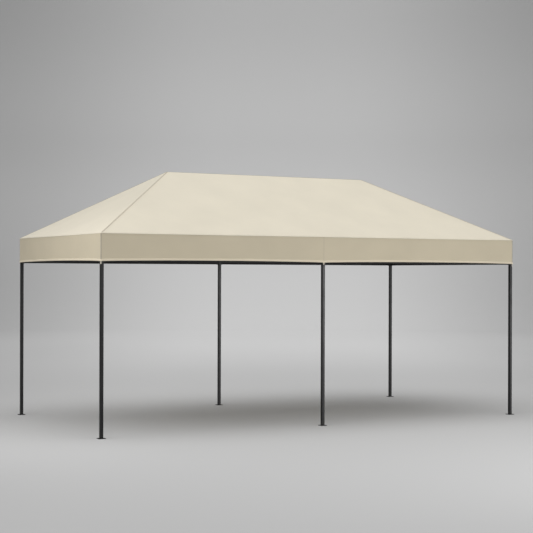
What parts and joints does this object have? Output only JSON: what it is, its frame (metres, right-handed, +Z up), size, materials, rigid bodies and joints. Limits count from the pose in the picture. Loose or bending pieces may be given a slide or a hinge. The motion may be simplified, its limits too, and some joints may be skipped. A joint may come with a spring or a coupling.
{
  "type": "garden gazebo",
  "caption": "Rectangular garden gazebo: black square-tube steel frame on slim legs with foot plates, under a taut cream hipped fabric cover with a deep straight valance.",
  "frame": {"origin": "on the ground, at the middle of the six legs", "axes": "+Z up, X along the long side, the front faces -Y"},
  "size_m": [6.042, 3.042, 3.2443],
  "materials": {
    "leg_steel": "satin black powder coat",
    "rail_steel": "satin black powder coat",
    "rafter_steel": "satin black powder coat",
    "foot_steel": "satin black powder coat, scuffed at the edges",
    "bracket_nylon": "matt black moulded nylon",
    "roof_fabric": "cream coated woven polyester, taut",
    "valance_fabric": "cream coated woven polyester with sewn hem",
    "stitching": "sewing thread and seam tape",
    "webbing": "cream webbing straps",
    "fixings": "black coated bolts and spring buttons"
  },
  "bodies": {
    "root": {"leg_front_left": "leg_steel", "leg_front_middle": "leg_steel", "leg_front_right": "leg_steel", "leg_back_left": "leg_steel", "leg_back_middle": "leg_steel", "leg_back_right": "leg_steel", "foot_front_left": "foot_steel", "foot_front_middle": "foot_steel", "foot_front_right": "foot_steel", "foot_back_left": "foot_steel", "foot_back_middle": "foot_steel", "foot_back_right": "foot_steel", "bracket_front_left": "bracket_nylon", "bracket_front_middle": "bracket_nylon", "bracket_front_right": "bracket_nylon", "bracket_back_left": "bracket_nylon", "bracket_back_middle": "bracket_nylon", "bracket_back_right": "bracket_nylon", "eave_rail_front_left": "rail_steel", "eave_rail_front_right": "rail_steel", "eave_rail_back_left": "rail_steel", "eave_rail_back_right": "rail_steel", "eave_rail_left": "rail_steel", "eave_rail_right": "rail_steel", "lower_rail_front_left": "rail_steel", "lower_rail_front_right": "rail_steel", "lower_rail_back_left": "rail_steel", "lower_rail_back_right": "rail_steel", "lower_rail_left": "rail_steel", "lower_rail_right": "rail_steel", "hip_rafter_front_left": "rafter_steel", "hip_rafter_front_right": "rafter_steel", "hip_rafter_back_left": "rafter_steel", "hip_rafter_back_right": "rafter_steel", "middle_rafter_front": "rafter_steel", "middle_rafter_back": "rafter_steel", "ridge_pole_left": "rafter_steel", "ridge_pole_right": "rafter_steel", "ridge_hub_left": "bracket_nylon", "ridge_hub_middle": "bracket_nylon", "ridge_hub_right": "bracket_nylon", "roof_panel_front": "roof_fabric", "roof_panel_back": "roof_fabric", "roof_panel_left": "roof_fabric", "roof_panel_right": "roof_fabric", "valance_front": "valance_fabric", "valance_back": "valance_fabric", "valance_left": "valance_fabric", "valance_right": "valance_fabric"}
  },
  "joints": []
}
